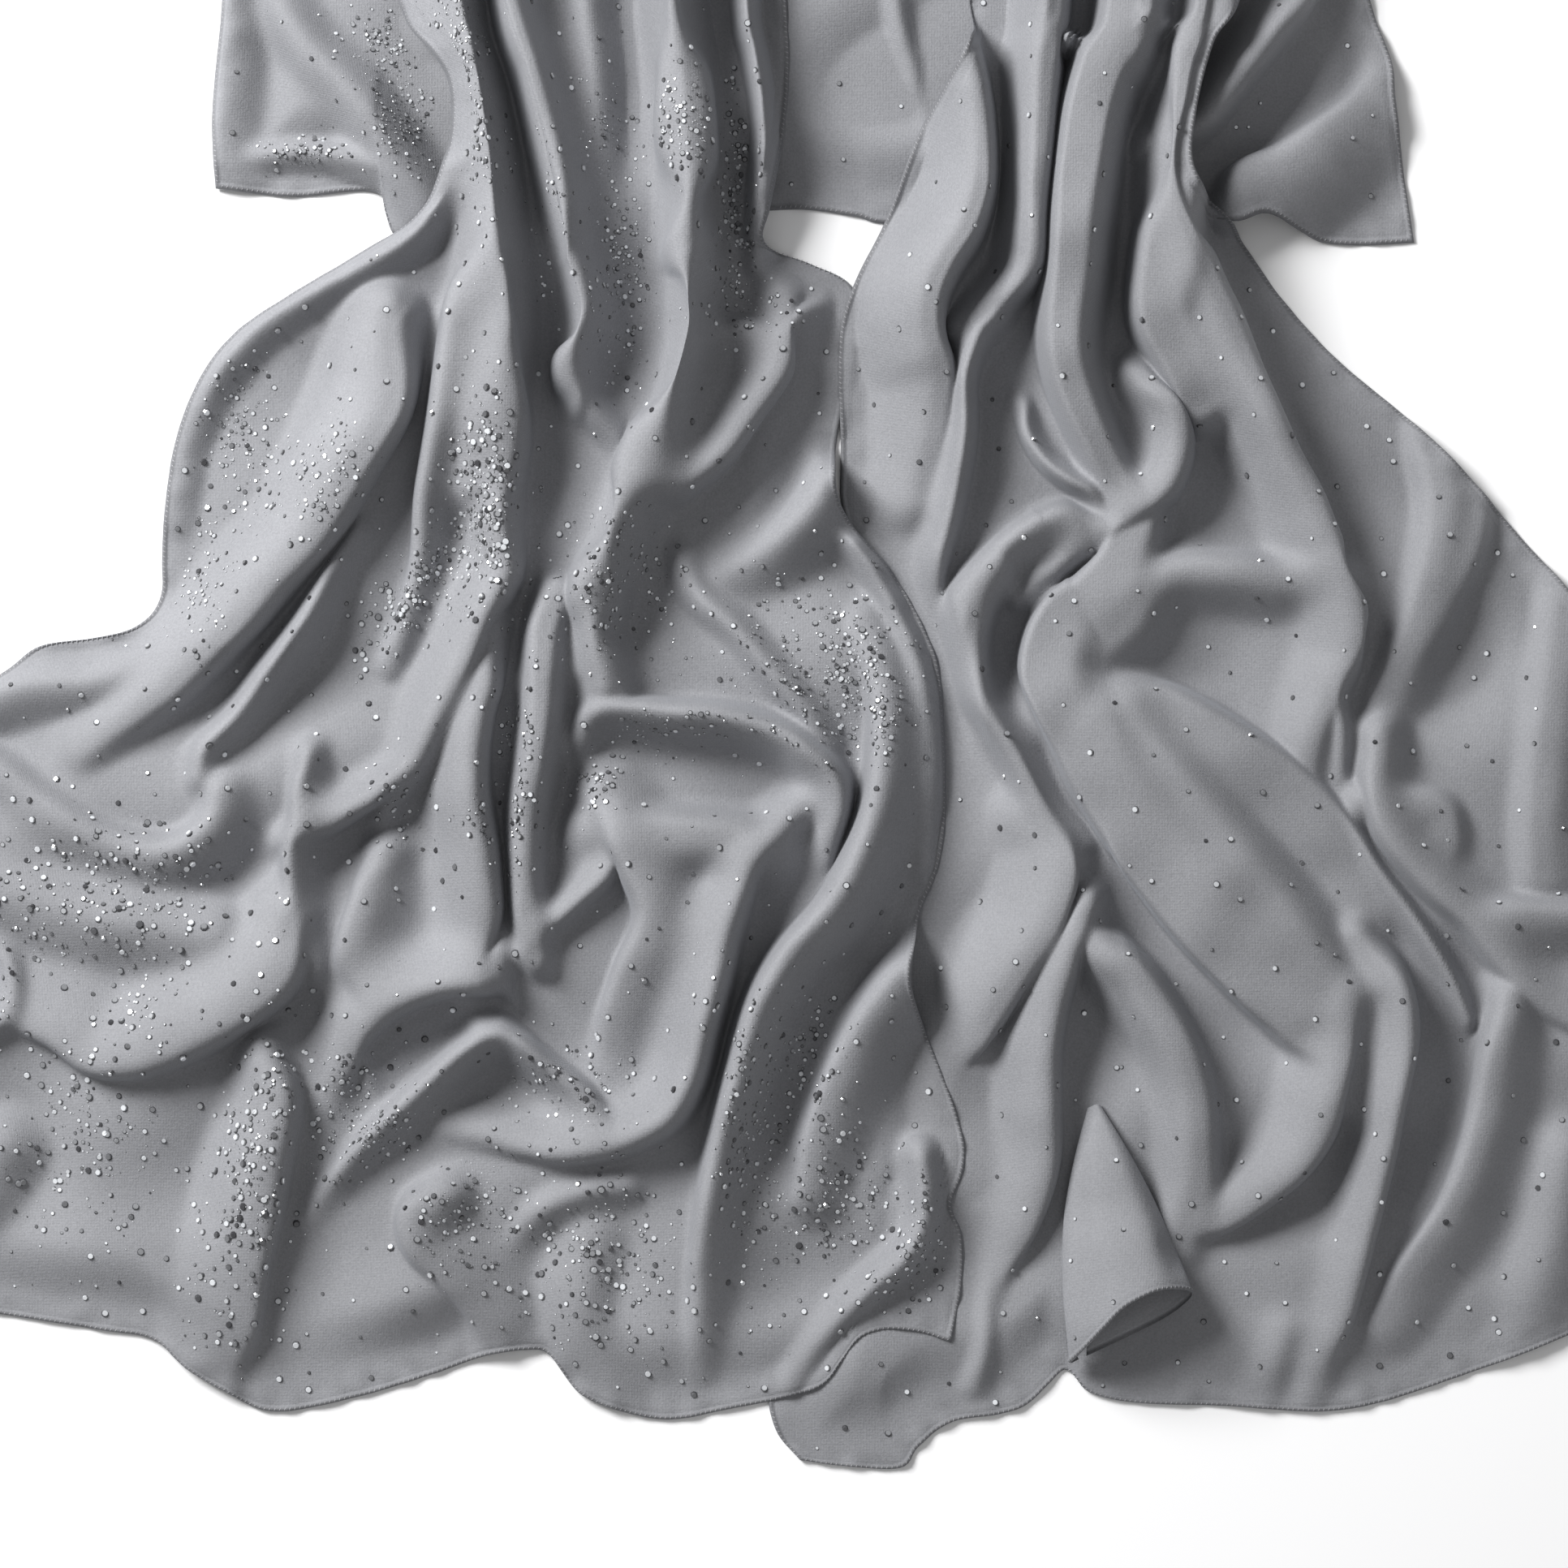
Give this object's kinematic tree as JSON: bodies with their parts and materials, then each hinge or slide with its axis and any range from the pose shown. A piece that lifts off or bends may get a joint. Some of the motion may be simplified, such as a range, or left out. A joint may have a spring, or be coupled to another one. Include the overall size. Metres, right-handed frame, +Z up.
{
  "type": "shawl",
  "caption": "Soft rectangular shawl laid flat in draped folds, gathered at the far end, its two crystal-dotted tails fanning out.",
  "frame": {"origin": "bottom centre of the bounding box, on the surface that the shawl lies on", "axes": "+Z up from the surface, +Y from the near hems towards the gathered far end, +X to the right seen from above"},
  "size_m": [0.7214, 0.6494, 0.0423],
  "materials": {
    "hidden_layers": "matte woven cloth, folded layers",
    "back_stretch": "satin-matte grey chiffon with scattered small crystals",
    "left_tail": "satin-matte grey chiffon with dense drifts of small crystals",
    "right_tail": "satin-matte grey chiffon with scattered small crystals",
    "cone_fold": "satin-matte grey chiffon"
  },
  "bodies": {
    "root": {"hidden_layers": "hidden_layers", "back_stretch": "back_stretch", "left_tail": "left_tail", "right_tail": "right_tail", "cone_fold": "cone_fold"}
  },
  "joints": []
}
